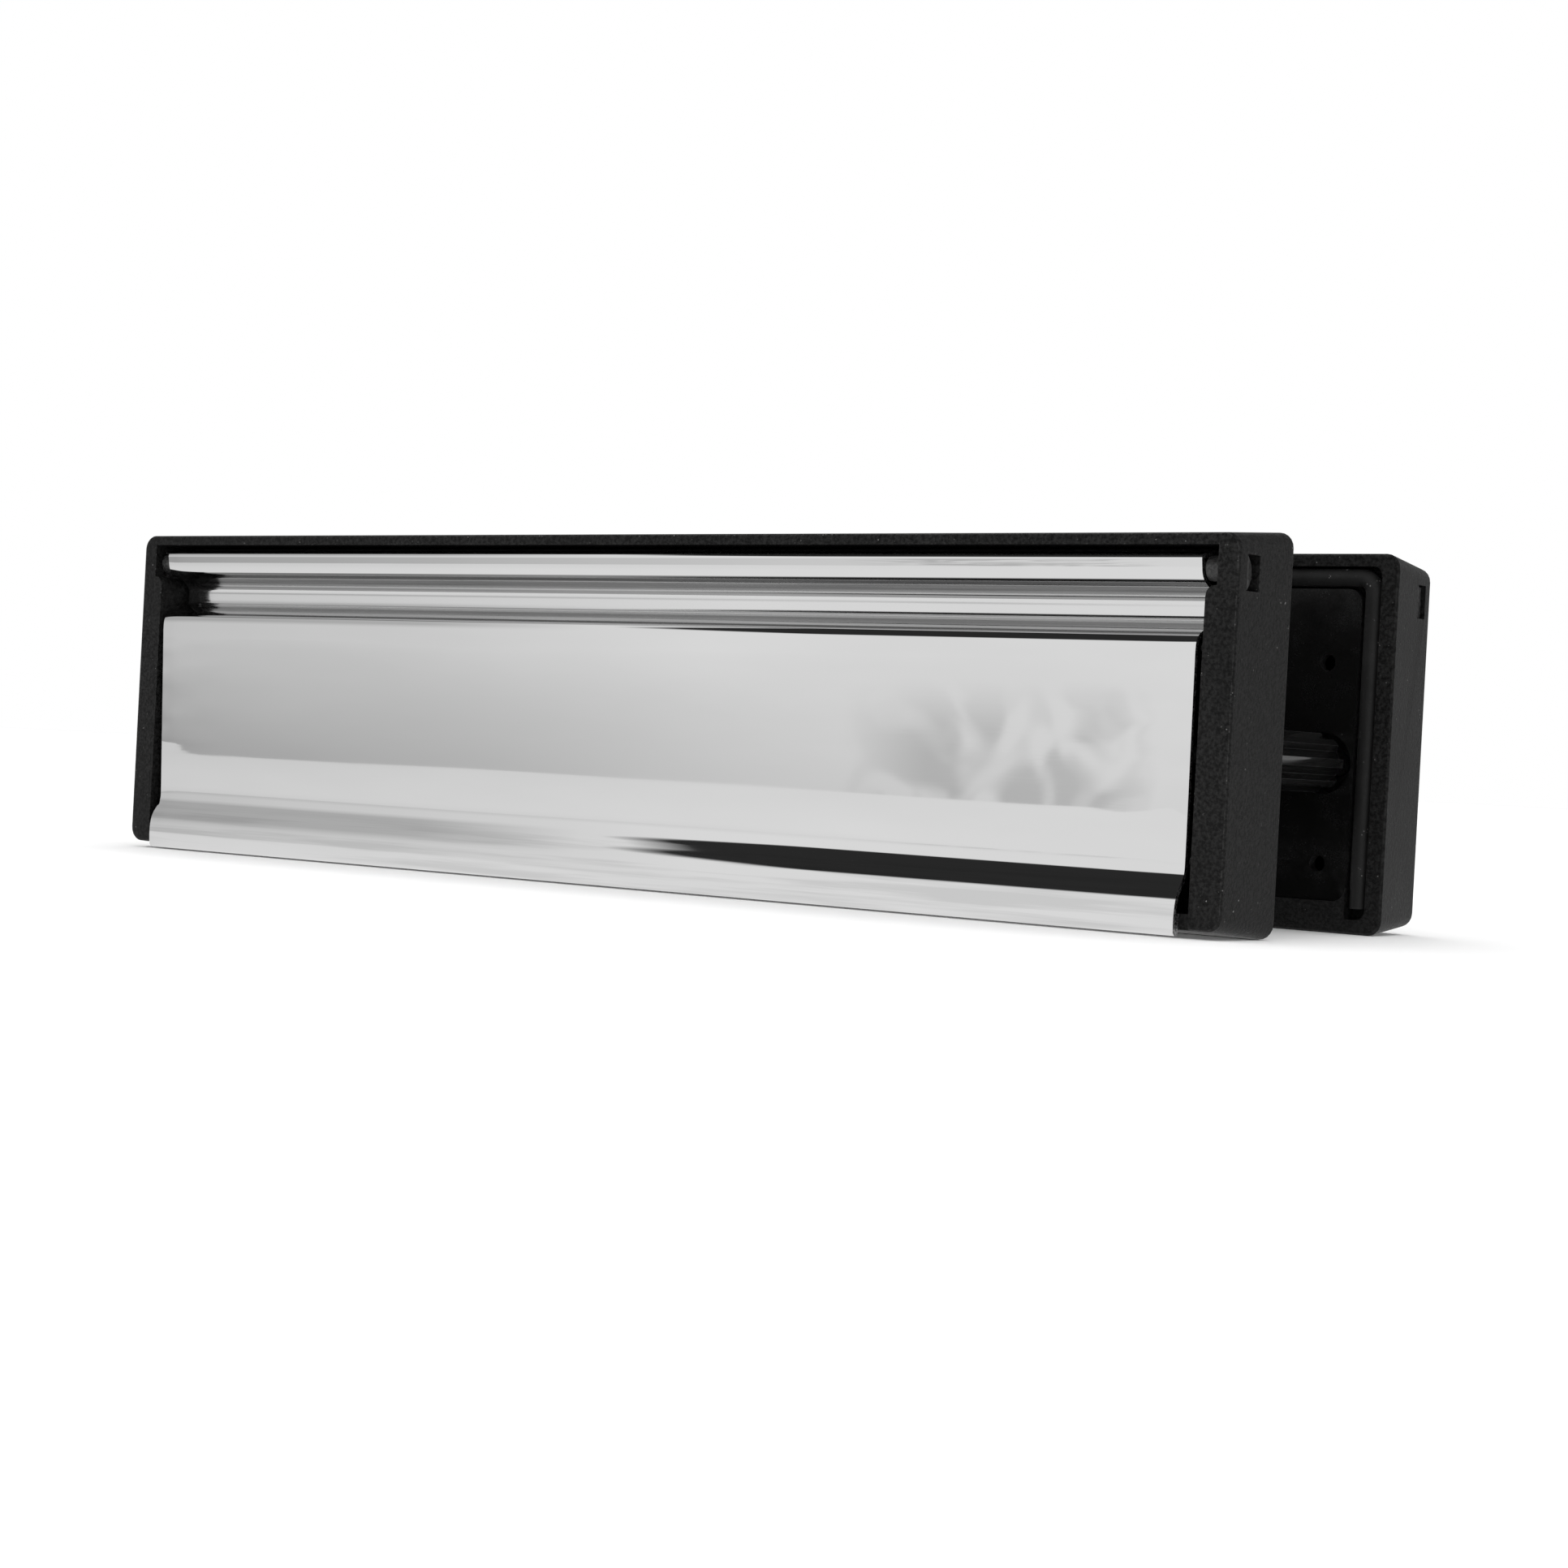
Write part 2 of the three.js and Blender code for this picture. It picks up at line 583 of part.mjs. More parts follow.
for (const unit of ['outer', 'inner']) {
  const inside = unit === 'inner';
  const shrink = inside ? SLEEVE_WALL + SLEEVE_GAP : 0;
  const halfWidth = SLEEVE_HALF_WIDTH - shrink;
  const halfHeight = SLEEVE_HALF_HEIGHT - shrink;
  const reach = inside ? INNER_SLEEVE_REACH : OUTER_SLEEVE_REACH;
  addPiece(`${unit}_frame`, inside ? innerFrame() : outerFrame(), 'nylon', unit);
  addPiece(`${unit}_flap`, flap(), 'polished', unit);
  addPiece(`${unit}_gasket`, cordGasket(), 'rubber', unit);
  addPiece(`${unit}_sleeve`, sleeve(halfWidth, halfHeight, reach), 'nylon', unit);
  addPiece(`${unit}_mouth_seal`, mouthSeal(halfWidth, halfHeight), 'rubber', unit);
  for (const side of [-1, 1]) {
    addPiece(`${unit}_hinge_clip_${sideName(unit, side)}`, hingeClip(side), 'nylon', unit);
    addPiece(`${unit}_flap_spring_${sideName(unit, side)}`, hingeSpring(side), 'steel', unit);
  }
}

for (const side of [-1, 1]) {
  const outerSide = sideName('outer', side);
  const innerSide = sideName('inner', side);
  addPiece(`fixing_post_${outerSide}`, fixingPost(side), 'gloss');
  addPiece(`post_insert_${outerSide}`, brassInsert(side), 'brass');
  addPiece(`fixing_bolt_${innerSide}`, fixingBolt(side), 'steel', 'inner');
  addPiece(`bolt_cover_${innerSide}`, boltCover(side), 'nylon', 'inner');
}

export default letterPlate;
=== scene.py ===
"""Looks for the telescopic letter plate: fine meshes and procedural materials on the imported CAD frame."""
import json
import math
import bmesh
import bpy
import numpy as np
from mathutils import Matrix, Vector, noise

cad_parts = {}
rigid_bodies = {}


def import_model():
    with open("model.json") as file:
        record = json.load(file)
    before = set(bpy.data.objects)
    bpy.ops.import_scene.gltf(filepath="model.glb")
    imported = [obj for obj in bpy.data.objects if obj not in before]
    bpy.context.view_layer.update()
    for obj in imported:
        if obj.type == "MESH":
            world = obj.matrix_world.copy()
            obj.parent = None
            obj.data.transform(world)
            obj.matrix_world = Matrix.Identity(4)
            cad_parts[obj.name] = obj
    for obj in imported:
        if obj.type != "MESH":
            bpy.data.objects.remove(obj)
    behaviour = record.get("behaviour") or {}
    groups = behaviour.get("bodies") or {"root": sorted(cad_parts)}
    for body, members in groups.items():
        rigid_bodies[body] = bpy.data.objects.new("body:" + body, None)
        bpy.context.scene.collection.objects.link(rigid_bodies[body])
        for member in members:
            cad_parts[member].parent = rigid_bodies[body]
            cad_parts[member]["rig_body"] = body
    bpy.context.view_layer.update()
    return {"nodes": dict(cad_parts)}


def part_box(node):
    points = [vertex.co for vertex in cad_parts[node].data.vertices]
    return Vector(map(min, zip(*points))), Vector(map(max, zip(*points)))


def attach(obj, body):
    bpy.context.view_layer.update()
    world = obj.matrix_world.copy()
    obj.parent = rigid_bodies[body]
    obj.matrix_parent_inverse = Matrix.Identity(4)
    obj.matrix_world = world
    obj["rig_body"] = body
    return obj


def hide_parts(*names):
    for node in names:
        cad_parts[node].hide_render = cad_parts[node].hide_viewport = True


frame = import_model()

MM = 0.001
FRONT = -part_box("outer_frame")[0].y / MM

# Flap sheet, in millimetres, with y measured from the frame's flap side
FLAP_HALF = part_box("outer_flap")[1].x / MM
FLAP_END_TAPER = 0.8
SHEET = 1.0
HEM_THICKNESS = 2.1
HEM_HEIGHT = 4.6
LIP_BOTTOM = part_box("outer_flap")[0].z / MM
AXIS = (4.0, 69.9)
PLATE_LOW = 14
PLATE_HIGH = 53
FLAP_LINE = [
    (-1.7, 1.45), (-1.78, 2.6), (-1.8, 4.2), (-1.74, 5.3), (-1.62, 6.3), (-1.42, 7.3), (-1.1, 8.2),
    (-0.68, 9), (-0.1, 9.75), (0.42, 10.4), (0.86, 11.05), (1.18, 11.75), (1.36, 12.6), (1.4, 13.6),
    (0, 53.4), (0, 54.8), (0.1, 55.7), (0.32, 56.4), (0.8, 57), (1.45, 57.5), (2.3, 58),
    (3.5, 58.55), (4.8, 59.05), (5.9, 59.45), (6.9, 59.85), (7.5, 60.35), (7.76, 61.1), (7.83, 62),
    (7.85, 62.9), (7.72, 63.8), (7.25, 64.6), (6.5, 65.2), (5.7, 65.65), (4.95, 65.92), (4.2, 66.15),
    (3.5, 66.46),
]
# The roll's lower front, top front corner and back: centre, radius, first and last angle
ROLL_ARCS = [(AXIS, 3.2, 248, 182), ((1.6, 71.5), 1.1, 178, 92), (AXIS, 3.1, 100, -25)]


# ---------- camera ----------

def make_camera():
    """Seen from the outdoor side's right, a little above the middle of the plate."""
    azimuth, elevation, roll = math.radians(36.76), math.radians(-0.45), math.radians(3.02)
    forward = Vector((-math.sin(azimuth) * math.cos(elevation),
                      math.cos(azimuth) * math.cos(elevation), math.sin(elevation)))
    level = forward.cross(Vector((0, 0, 1))).normalized()
    over = level.cross(forward)
    right = level * math.cos(roll) + over * math.sin(roll)
    up = right.cross(forward)
    data = bpy.data.cameras.new("camera")
    data.lens = 69.0
    data.sensor_width = 36
    data.clip_start = 0.01
    camera = bpy.data.objects.new("camera", data)
    rotation = Matrix((right, up, -forward)).transposed().to_4x4()
    camera.matrix_world = Matrix.Translation((0.4203, -0.5395, 0.0295)) @ rotation
    bpy.context.scene.collection.objects.link(camera)
    bpy.context.scene.camera = camera


# ---------- material nodes ----------

class Nodes:
    """A short way to wire one material's nodes."""

    def __init__(self, name, **inputs):
        self.material = bpy.data.materials.new(name)
        self.material.use_nodes = True
        self.tree = self.material.node_tree
        self.shader = self.tree.nodes["Principled BSDF"]
        for key, value in inputs.items():
            self.shader.inputs[key.replace("_", " ")].default_value = value
        coordinates = self.tree.nodes.new("ShaderNodeTexCoord")
        self.place = coordinates.outputs["Object"]

    def add(self, kind, links=None, **settings):
        node = self.tree.nodes.new(kind)
        for key, value in settings.items():
            setattr(node, key, value)
        for key, value in (links or {}).items():
            if isinstance(value, bpy.types.NodeSocket):
                self.tree.links.new(value, node.inputs[key])
            else:
                node.inputs[key].default_value = value
        return node

    def stretched(self, scale):
        return self.add("ShaderNodeMapping", {"Vector": self.place, "Scale": scale}).outputs[0]

    def noise(self, scale, detail=3, roughness=0.55, vector=None, distortion=0):
        links = {"Vector": vector or self.place, "Scale": scale, "Detail": detail,
                 "Roughness": roughness, "Distortion": distortion}
        return self.add("ShaderNodeTexNoise", links).outputs[0]

    def cells(self, scale, vector=None):
        links = {"Vector": vector or self.place, "Scale": scale}
        return self.add("ShaderNodeTexVoronoi", links).outputs["Distance"]

    def ramp(self, value, low, high, to_low=0.0, to_high=1.0):
        links = {"Value": value, "From Min": low, "From Max": high, "To Min": to_low, "To Max": to_high}
        return self.add("ShaderNodeMapRange", links, clamp=True).outputs[0]

    def math(self, operation, a, b):
        return self.add("ShaderNodeMath", {0: a, 1: b}, operation=operation).outputs[0]

    def blend(self, factor, a, b):
        node = self.add("ShaderNodeMix", data_type="RGBA")
        for socket, value in (("Factor_Float", factor), ("A_Color", a), ("B_Color", b)):
            target = next(s for s in node.inputs if s.identifier == socket)
            if isinstance(value, bpy.types.NodeSocket):
                self.tree.links.new(value, target)
            else:
                target.default_value = value
        return next(s for s in node.outputs if s.identifier == "Result_Color")

    def set(self, socket, value):
        self.tree.links.new(value, self.shader.inputs[socket])

    def bump(self, height, strength, distance):
        links = {"Height": height, "Strength": strength, "Distance": distance}
        self.set("Normal", self.add("ShaderNodeBump", links).outputs[0])


def grey(value, warm=0.0):
    return (value * (1 + warm), value, value * (1 - warm), 1)


def nylon(name, shade, roughness, speck_share, grain=0.9, specular=0.1):
    """Spark-textured black moulding with pale specks of dust and wear."""
    m = Nodes(name, Specular_IOR_Level=specular)
    fine = m.noise(1400, 4, 0.7)
    broad = m.noise(45, 3)
    shadow = m.blend(m.ramp(broad, 0.3, 0.7), grey(shade * 0.32), grey(shade * 0.48, 0.01))
    glint = m.blend(m.ramp(broad, 0.3, 0.7), grey(shade * 1.85), grey(shade * 2.6, 0.01))
    tone = m.blend(m.ramp(fine, 0.4, 0.62), shadow, glint)
    grains = m.ramp(m.cells(1500), 0.05, 0.3, 1.0, 0.0)
    chosen = m.ramp(m.noise(900, 2), 0.68 - speck_share, 0.72 - speck_share)
    patches = m.ramp(m.noise(95, 2), 0.36, 0.66)
    specks = m.math("MULTIPLY", m.math("MULTIPLY", grains, chosen), patches)
    m.set("Base Color", m.blend(specks, tone, grey(0.42, 0.01)))
    uneven = m.math("ADD", m.ramp(fine, 0.3, 0.7, roughness - 0.1, roughness + 0.1),
                    m.ramp(broad, 0.3, 0.7, -0.03, 0.03))
    m.set("Roughness", uneven)
    m.bump(fine, grain, 0.00028)
    return m.material


def gloss_black(name, shade, roughness):
    """Glossy moulded plastic with faint flow marks and a little dust."""
    m = Nodes(name, Specular_IOR_Level=0.5)
    flow = m.noise(160, 3, 0.5, m.stretched((1, 0.25, 1)))
    dust = m.math("MULTIPLY", m.ramp(m.cells(1400), 0.02, 0.14, 1.0, 0.0),
                  m.ramp(m.noise(500, 2), 0.62, 0.7))
    m.set("Base Color", m.blend(dust, grey(shade), grey(0.22)))
    m.set("Roughness", m.math("ADD", m.ramp(flow, 0.35, 0.7, roughness, roughness + 0.12),
                              m.ramp(m.noise(2600, 2), 0.4, 0.7, 0, 0.06)))
    m.bump(flow, 0.05, 0.0003)
    return m.material


def rubber(name, shade):
    """Dull extruded rubber: fine lengthwise pores and dust."""
    m = Nodes(name, Specular_IOR_Level=0.22)
    pores = m.noise(2600, 4, 0.7)
    dust = m.math("MULTIPLY", m.ramp(m.cells(1300), 0.05, 0.26, 1.0, 0.0),
                  m.ramp(m.noise(300, 3), 0.56, 0.64))
    tone = m.blend(m.ramp(m.noise(120, 3), 0.35, 0.7), grey(shade * 0.8), grey(shade * 1.35))
    m.set("Base Color", m.blend(dust, tone, grey(0.3)))
    m.set("Roughness", m.ramp(pores, 0.3, 0.7, 0.42, 0.68))
    m.bump(pores, 0.35, 0.00012)
    return m.material


def polished(name):
    """Mirror-polished sheet: uneven haze, painted shade in the two bends at the foot and top of the cove (a
    darker colour varied by draw lines), and darker streaks along the lip.
    """
    m = Nodes(name, Metallic=1.0)
    height = m.add("ShaderNodeSeparateXYZ", {0: m.place}).outputs[2]
    # Painted shade: the bends 56.8 to 60 mm and 64.8 to 67 mm up get a darker colour
    upper = m.math("MULTIPLY", m.ramp(height, 0.0648, 0.0656), m.ramp(height, 0.0668, 0.0672, 1.0, 0.0))
    lower = m.math("MULTIPLY", m.ramp(height, 0.0568, 0.0573), m.ramp(height, 0.0594, 0.0602, 1.0, 0.0))
    fold_shade = m.math("ADD", upper, lower)
    cove = m.math("MULTIPLY", m.ramp(height, 0.0568, 0.0575), m.ramp(height, 0.0666, 0.0672, 1.0, 0.0))
    lines = m.noise(1.0, 4, 0.6, m.stretched((25, 2600, 2600)))
    haze = m.noise(1.0, 3, 0.55, m.stretched((12, 60, 60)))
    lip = m.math("MULTIPLY", m.ramp(height, 0.009, 0.012, 1.0, 0.0),
                 m.ramp(m.noise(1.0, 3, 0.6, m.stretched((14, 500, 500))), 0.45, 0.62))
    bright = m.blend(m.ramp(haze, 0.35, 0.68), grey(0.685), grey(0.71))
    bright = m.blend(lip, bright, grey(0.6))
    # The painted shade's colour, grey 0.34 to 0.5 along the draw lines
    shaded_draw_lines = m.blend(m.ramp(lines, 0.35, 0.65), grey(0.34), grey(0.5))
    m.set("Base Color", m.blend(fold_shade, bright, shaded_draw_lines))
    mirror = m.math("ADD", m.ramp(haze, 0.35, 0.7, 0.012, 0.03), m.ramp(lines, 0.5, 0.8, 0.0, 0.012))
    drawn = m.math("MULTIPLY", cove, m.ramp(lines, 0.3, 0.7, 0.06, 0.11))
    m.set("Roughness", m.math("ADD", mirror, drawn))
    m.bump(lines, 0.012, 0.00001)
    return m.material


def sheared_edge(name):
    """Cut end of the sheet: grey torn metal."""
    m = Nodes(name, Metallic=1.0)
    tear = m.noise(2400, 4, 0.7)
    m.set("Base Color", m.blend(m.ramp(tear, 0.42, 0.62), grey(0.06), grey(0.5)))
    m.set("Roughness", m.ramp(tear, 0.3, 0.7, 0.25, 0.6))
    m.bump(tear, 0.7, 0.0001)
    return m.material


def metal(name, color, roughness, grain_scale=(1, 1, 1)):
    """Turned or drawn metal with fine tool marks and tarnish."""
    m = Nodes(name, Metallic=1.0)
    marks = m.noise(1800, 3, 0.6, m.stretched(grain_scale))
    tarnish = m.noise(240, 3)
    dark = tuple(c * 0.7 for c in color[:3]) + (1,)
    m.set("Base Color", m.blend(m.ramp(tarnish, 0.4, 0.75), color, dark))
    m.set("Roughness", m.ramp(marks, 0.3, 0.7, roughness - 0.06, roughness + 0.12))
    m.bump(marks, 0.15, 0.00005)
    return m.material


MATERIALS = {
    "frame": nylon("frame nylon", 0.0078, 0.5, 0.03),
    "frame_edge": nylon("frame nylon worn edge", 0.015, 0.5, 0.14),
    "panel": gloss_black("frame glossy panel", 0.004, 0.16),
    "clip": nylon("clip nylon", 0.02, 0.35, 0.0, 0.25, 0.4),
    "sleeve": nylon("sleeve plastic", 0.012, 0.38, 0.0, 0.15),
    "post": gloss_black("post plastic", 0.007, 0.07),
    # Painted highlight: the post's rounded fin edges get a light grey colour standing in for the highlights
    # along them
    "post_painted_edge_highlight": gloss_black("post plastic painted edge highlight", 0.2, 0.16),
    "rubber": rubber("cord rubber", 0.011),
    "polished": polished("flap polished"),
    "sheared": sheared_edge("flap cut edge"),
    "steel": metal("spring steel", (0.55, 0.55, 0.56, 1), 0.28),
    "bolt": metal("bolt steel", (0.62, 0.62, 0.63, 1), 0.3, (1, 3, 1)),
    "brass": metal("insert brass", (0.62, 0.46, 0.2, 1), 0.3, (1, 3, 1)),
}


# ---------- meshes ----------

def new_piece(name, mesh, node, materials):
    """A finished piece that stands for one CAD node and rides on its body."""
    obj = bpy.data.objects.new(name, mesh)
    bpy.context.scene.collection.objects.link(obj)
    for key in materials:
        mesh.materials.append(MATERIALS[key])
    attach(obj, frame["nodes"][node]["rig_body"])
    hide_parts(node)
    return obj


def round_edges(obj, width, segments=2, angle=30, edge_material=-1):
    bevel = obj.modifiers.new("rounded edges", "BEVEL")
    bevel.width = width * MM
    bevel.segments = segments
    bevel.limit_method = "ANGLE"
    bevel.angle_limit = math.radians(angle)
    bevel.harden_normals = True
    bevel.material = edge_material
    return bevel


def merged_cad_mesh(node, flat_deg=0.5):
    """The CAD node's shape with its flat triangles merged into whole faces."""
    bm = bmesh.new()
    bm.from_mesh(frame["nodes"][node].data)
    bmesh.ops.remove_doubles(bm, verts=bm.verts, dist=0.002 * MM)
    bmesh.ops.dissolve_limit(bm, angle_limit=math.radians(flat_deg), verts=bm.verts, edges=bm.edges)
    return bm


def finish_mesh(bm, name, smooth_deg=30):
    mesh = bpy.data.meshes.new(name)
    bm.to_mesh(mesh)
    bm.free()
    mesh.polygons.foreach_set("use_smooth", [True] * len(mesh.polygons))
    mesh.set_sharp_from_angle(angle=math.radians(smooth_deg))
    return mesh


def weigh_edges(bm, is_outer, inner_share):
    """Full rounding for the outer edges and less for the small features inside."""
    layer = bm.edges.layers.float.new("bevel_weight_edge")
    for edge in bm.edges:
        if len(edge.link_faces) == 2 and edge.calc_face_angle() > math.radians(30):
            middle = (edge.verts[0].co + edge.verts[1].co) / 2
            edge[layer] = 1.0 if is_outer(middle) else inner_share


def refined(node, materials, width, edge_material=-1, choose=None, is_outer=None):
    """A CAD node's shape with rounded edges."""
    bm = merged_cad_mesh(node)
    if is_outer:
        weigh_edges(bm, is_outer, 0.3)
    if choose:
        for face in bm.faces:
            face.material_index = choose(face)
    mesh = finish_mesh(bm, "fine_" + node)
    obj = new_piece("fine_" + node, mesh, node, materials)
    bevel = round_edges(obj, width, edge_material=edge_material)
    if is_outer:
        bevel.limit_method = "WEIGHT"
        bevel.segments = 3
    return obj


def swept(rings, name):
    """A closed skin through rings of equal length, with fan caps."""
    bm = bmesh.new()
    loops = [[bm.verts.new(Vector(p) * MM) for p in ring] for ring in rings]
    for a, b in zip(loops, loops[1:]):
        for i in range(len(a)):
            j = (i + 1) % len(a)
            bm.faces.new((a[i], a[j], b[j], b[i]))
    bm.faces.new(loops[0][::-1])
    bm.faces.new(loops[-1])
    bmesh.ops.recalc_face_normals(bm, faces=bm.faces)
    return finish_mesh(bm, name, 50)


def tube_rings(path, radius_at, sides):
    """Rings round a path of points, with a steady twist-free frame."""
    points = [Vector(p) for p in path]
    rings = []
    side = None
    for i, point in enumerate(points):
        along = (points[min(i + 1, len(points) - 1)] - points[max(i - 1, 0)]).normalized()
        if side is None:
            side = along.orthogonal().normalized()
        side = (side - along * side.dot(along)).normalized()
        other = along.cross(side)
        radius = radius_at(i)
        rings.append([point + side * radius * math.cos(a) + other * radius * math.sin(a)
                      for a in (k * 2 * math.pi / sides for k in range(sides))])
    return rings


# ---------- flap ----------

def arc(centre, radius, start_deg, end_deg, steps):
    angles = np.radians(np.linspace(start_deg, end_deg, steps))
    return np.stack([centre[0] + radius * np.cos(angles), centre[1] + radius * np.sin(angles)], 1)


def evenly_spaced(line, step):
    lengths = np.concatenate([[0], np.cumsum(np.hypot(*np.diff(line, axis=0).T))])
    count = int(lengths[-1] / step)
    at = np.linspace(0, lengths[-1], count)
    return np.stack([np.interp(at, lengths, line[:, k]) for k in (0, 1)], 1)


def smoothed(line, step, sigma):
    """The line with its corners eased; its two ends stay where they are."""
    reach = int(4 * sigma / step)
    kernel = np.exp(-0.5 * (np.arange(-reach, reach + 1) * step / sigma) ** 2)
    kernel /= kernel.sum()
    head = 2 * line[0] - line[1:reach + 1][::-1]
    tail = 2 * line[-1] - line[-reach - 1:-1][::-1]
    padded = np.concatenate([head, line, tail])
    return np.stack([np.convolve(padded[:, k], kernel, "valid") for k in (0, 1)], 1)


def flap_surface_line():
    """The sheet's outer surface from the hem's free edge, round the fold and up to the roll's end."""
    step = 0.05
    half = HEM_THICKNESS / 2
    hem_back = FLAP_LINE[0][0] + HEM_THICKNESS
    fold_centre = (hem_back - half, LIP_BOTTOM + half)
    hem = np.array([(hem_back, HEM_HEIGHT), (hem_back, fold_centre[1] + 0.02)])
    start = evenly_spaced(np.concatenate([hem, arc(fold_centre, half, 0, -180, 30)]), step)
    roll = [arc(centre, radius, first, last, 30) for centre, radius, first, last in ROLL_ARCS]
    face = smoothed(evenly_spaced(np.concatenate([np.array(FLAP_LINE), *roll]), step), step, 0.3)
    return evenly_spaced(np.concatenate([start, face]), step)


def chosen_points(line, most_turn_deg=4.0, most_length=2.0):
    """Indices that are enough to draw the line: close together where it bends."""
    direction = np.diff(line, axis=0)
    heading = np.unwrap(np.arctan2(direction[:, 1], direction[:, 0]))
    lengths = np.hypot(*direction.T)
    keep = [0]
    turned = travelled = 0.0
    for i in range(1, len(line) - 1):
        turned += abs(heading[i] - heading[i - 1])
        travelled += lengths[i - 1]
        if turned > math.radians(most_turn_deg) or travelled > most_length:
            keep.append(i)
            turned = travelled = 0.0
    keep.append(len(line) - 1)
    return keep


def flap_columns():
    """Places along the flap, closer together towards its cut ends."""
    inner = np.linspace(-1, 1, 73) * (FLAP_HALF - 6)
    ends = FLAP_HALF - np.array([4.5, 3.2, 2.2, 1.4, 0.8, 0.35, 0.0])
    return np.concatenate([-ends[::-1], inner, ends])


def waviness(x, z, seed):
    """How far the thin sheet stands off its true shape, in millimetres."""
    on_plate = min(max((z - PLATE_LOW + 4) / 8, 0), 1) * min(max((PLATE_HIGH + 2 - z) / 6, 0), 1)
    slow = noise.noise(Vector((x / 75, z / 45, seed))) * 0.032
    quick = noise.noise(Vector((x / 24, z / 20, seed + 7))) * 0.0022
    end = FLAP_HALF - abs(x)
    roll_off = 0.09 * math.exp(-end / 1.6)
    below_cove = min(max(57 - z, 0), 1)
    dents = below_cove * math.exp(-end / 9) * noise.noise(Vector((x / 11, z / 2.6, seed + 19)))
    return (slow + quick) * (0.25 + 0.75 * on_plate) + roll_off + 0.05 * dents


def flap_mesh(name, seed):
    line = flap_surface_line()
    tangent = np.gradient(line, axis=0)
    tangent /= np.hypot(*tangent.T)[:, None]
    inward = np.stack([tangent[:, 1], -tangent[:, 0]], 1)
    keep = chosen_points(line)
    outer = line[keep]
    normal = inward[keep]
    columns = flap_columns()
    bm = bmesh.new()
    grids = []
    for depth in (0.0, SHEET):
        surface = outer + normal * depth
        grid = []
        for x in columns:
            row = []
            for y, z in surface:
                narrowed = x * (1 - FLAP_END_TAPER * min(max(1 - z / 60, 0), 1) / FLAP_HALF)
                row.append(bm.verts.new(Vector((narrowed, y + waviness(x, z, seed), z)) * MM))
            grid.append(row)
        grids.append(grid)
    front, back = grids
    count = len(outer)
    for c in range(len(columns) - 1):
        for i in range(count - 1):
            bm.faces.new((front[c][i], front[c][i + 1], front[c + 1][i + 1], front[c + 1][i]))
            bm.faces.new((back[c][i], back[c + 1][i], back[c + 1][i + 1], back[c][i + 1]))
        for i in (0, count - 1):
            bm.faces.new((front[c][i], front[c + 1][i], back[c + 1][i], back[c][i])).material_index = 1
    for c in (0, len(columns) - 1):
        for i in range(count - 1):
            bm.faces.new((front[c][i], front[c][i + 1], back[c][i + 1], back[c][i])).material_index = 1
    bmesh.ops.recalc_face_normals(bm, faces=bm.faces)
    return finish_mesh(bm, name, 40)


def place_in_unit(mesh, unit):
    """From the unit's own drawing position to its place in the part."""
    mesh.transform(Matrix.Translation((0, -FRONT * MM, 0)))
    if unit == "inner":
        mesh.transform(Matrix.Rotation(math.pi, 4, "Z"))


def make_flap(unit, seed):
    node = unit + "_flap"
    mesh = flap_mesh("fine_" + node, seed)
    place_in_unit(mesh, unit)
    obj = new_piece("fine_" + node, mesh, node, ["polished", "sheared"])
    round_edges(obj, 0.09, 2, 55)


# ---------- frames ----------

def make_frame(unit):
    node = unit + "_frame"
    low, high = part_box(node)
    panel_y = (high.y - MM) if unit == "outer" else (low.y + MM)

    def surface_kind(face):
        flat = abs(face.normal.y) > 0.99
        return 2 if flat and abs(face.calc_center_median().y - panel_y) < 0.05 * MM else 0

    def is_outer(point):
        return abs(point.x) > high.x - 2.2 * MM or not 1.8 * MM < point.z < high.z - 2.2 * MM

    refined(node, ["frame", "frame_edge", "panel"], 0.6, 1, surface_kind, is_outer)


# ---------- rubber cord ----------

def make_gasket(unit, seed):
    """One round cord up, across and down, cut square at its two ends."""
    node = unit + "_gasket"
    low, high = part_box(node)
    radius = (high.y - low.y) / 2 / MM
    y = (high.y + low.y) / 2 / MM
    side = high.x / MM - radius
    top = high.z / MM - radius
    bottom = low.z / MM
    bend = 3
    path = [(-side, y, z) for z in np.linspace(bottom, top - bend, 36)]
    path += [(-side + bend - bend * math.cos(a), y, top - bend + bend * math.sin(a))
             for a in np.linspace(0, math.pi / 2, 14)[1:-1]]
    path += [(x, y, top) for x in np.linspace(-side + bend, side - bend, 120)]
    path += [(side - bend + bend * math.sin(a), y, top - bend + bend * math.cos(a))
             for a in np.linspace(0, math.pi / 2, 14)[1:-1]]
    path += [(side, y, z) for z in np.linspace(top - bend, bottom, 36)]
    rings = tube_rings(path, lambda i: radius - 0.04, 28)
    rings = [[p + Vector((0, 0.05 * noise.noise(p / 9 + Vector((0, 0, seed))), 0)) for p in ring]
             for ring in rings]
    mesh = swept(rings, "fine_" + node)
    obj = new_piece("fine_" + node, mesh, node, ["rubber"])
    round_edges(obj, 0.12, 2, 60)


# ---------- springs ----------

def make_spring(unit, side):
    """A closely wound torsion spring, drawn as its coils alone."""
    node = f"{unit}_flap_spring_{side}"
    low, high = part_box(node)
    wire = 0.25
    radius = (high.z - low.z) / 2 / MM - wire
    centre = (low + high) / 2 / MM
    coils = 7
    turns = np.linspace(0, coils * 2 * math.pi, coils * 28)
    length = (high.x - low.x) / MM - 2 * wire
    path = [(low.x / MM + wire + length * t / turns[-1],
             centre.y + radius * math.cos(t), centre.z + radius * math.sin(t)) for t in turns]
    mesh = swept(tube_rings(path, lambda i: wire, 12), "fine_" + node)
    new_piece("fine_" + node, mesh, node, ["steel"])


# ---------- stage ----------

